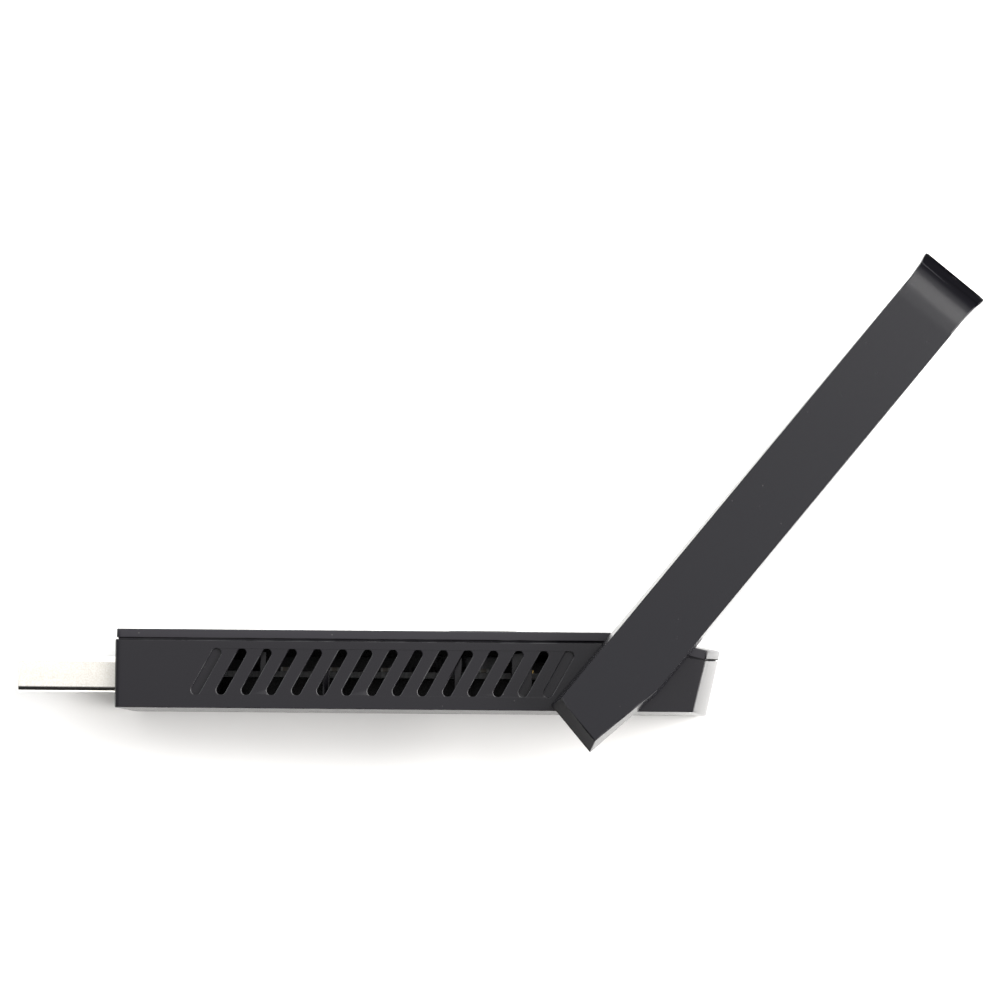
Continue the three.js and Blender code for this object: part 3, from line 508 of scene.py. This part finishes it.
# The pieces with a second finish: its material, the way its faces look, and how closely. The faces that
# look across the seam, the housing's inner floor among them, get a dull near-black painted shade.
SECOND_FINISH = {
    "lower_housing": ("seam_painted_shade", Vector((0.0, 1.0, 0.0)), 0.7),
    "top_cover": ("seam_painted_shade", Vector((0.0, -1.0, 0.0)), 0.7),
    "arm_outer_shell": (
        "heel_plastic",
        Vector((-math.cos(ARM_REST_ANGLE), -math.sin(ARM_REST_ANGLE), 0.0)),
        0.8,
    ),
}
SAME_PLACE = 2 * MICRON  # corners closer than this are one
SAME_PLANE = math.radians(0.1)  # faces that turn less than this are one
TURN_TO_ROUND = math.radians(32.0)  # an edge is rounded if its faces turn by more than this
TURN_TO_CREASE = math.radians(40.0)  # and looks sharp if they turn by more than this
ROOM_TO_ROUND = 2.2  # an edge is rounded only where its faces reach this many roundings away
FLAT_SIDE = 0.995  # a face is square to an axis if that part of its unit normal is at least this


def reach_from_edge(face, edge):
    """How far a face reaches from one of its edges."""
    start = edge.verts[0].co
    along = (edge.verts[1].co - start).normalized()
    return max(((v.co - start) - along * (v.co - start).dot(along)).length for v in face.verts)


def mark_bent_corners(mesh):
    """Marks the faces that turn from one side to the next, where sheet metal is bent and burnished."""
    bent = mesh.attributes.new("bent_corner", "FLOAT", "FACE")
    for face in mesh.polygons:
        bent.data[face.index].value = 1.0 if max(abs(c) for c in face.normal) < FLAT_SIDE else 0.0


def roundable(edge, room):
    """Whether an edge is an outward corner with room to round it on both of its faces."""
    if not edge.is_manifold or not edge.is_convex or edge.calc_face_angle() <= TURN_TO_ROUND:
        return False
    return min(reach_from_edge(face, edge) for face in edge.link_faces) > room


def refined(node, piece_name, width):
    """A copy of a CAD node's form, to stand for it, with its outward edges rounded where there is room."""
    mesh = bpy.data.meshes.new(piece_name)
    form = bmesh.new()
    form.from_mesh(NODES[node].data)
    bmesh.ops.remove_doubles(form, verts=form.verts, dist=SAME_PLACE)
    bmesh.ops.dissolve_limit(form, angle_limit=SAME_PLANE, verts=form.verts, edges=form.edges)
    edges = [edge for edge in form.edges if roundable(edge, width * ROOM_TO_ROUND)]
    rounded = form.faces.layers.float.new("rounded_edge")
    made = bmesh.ops.bevel(
        form, geom=edges, offset=width, offset_type="OFFSET", segments=3, profile=0.5,
        affect="EDGES", clamp_overlap=False,
    )
    for face in made["faces"]:
        face[rounded] = 1.0
    form.to_mesh(mesh)
    form.free()
    mesh.shade_smooth()
    mesh.set_sharp_from_angle(angle=TURN_TO_CREASE)
    mark_bent_corners(mesh)
    piece = bpy.data.objects.new(piece_name, mesh)
    SCENE.collection.objects.link(piece)
    normals = piece.modifiers.new("even_normals", "WEIGHTED_NORMAL")
    normals.keep_sharp = True
    return piece


def give_second_finish(piece, finish, facing, least):
    """Gives a second finish to the faces that look more or less along a direction."""
    piece.data.materials.append(finish)
    for face in piece.data.polygons:
        if face.normal.dot(facing) > least:
            face.material_index = 1


def place_pieces(materials):
    """Rounded copies stand for the pieces in ROUNDING, and every other piece takes its finish as it is."""
    for node, width in ROUNDING.items():
        piece = refined(node, node + "_form", width * MM)
        piece.data.materials.append(materials[SLOT_OF[node]])
        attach(piece, BODY_OF[node])
        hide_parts(node)
        if node in SECOND_FINISH:
            finish, facing, least = SECOND_FINISH[node]
            give_second_finish(piece, materials[finish], facing, least)
    for node, kept in NODES.items():
        if node not in ROUNDING:
            kept.data.materials.clear()
            kept.data.materials.append(materials[SLOT_OF[node]])


make_camera()
make_world()
for softbox in SOFTBOXES:
    soft_light(*softbox)
make_floor()
SCENE.view_settings.view_transform = "Standard"
place_pieces(make_materials())
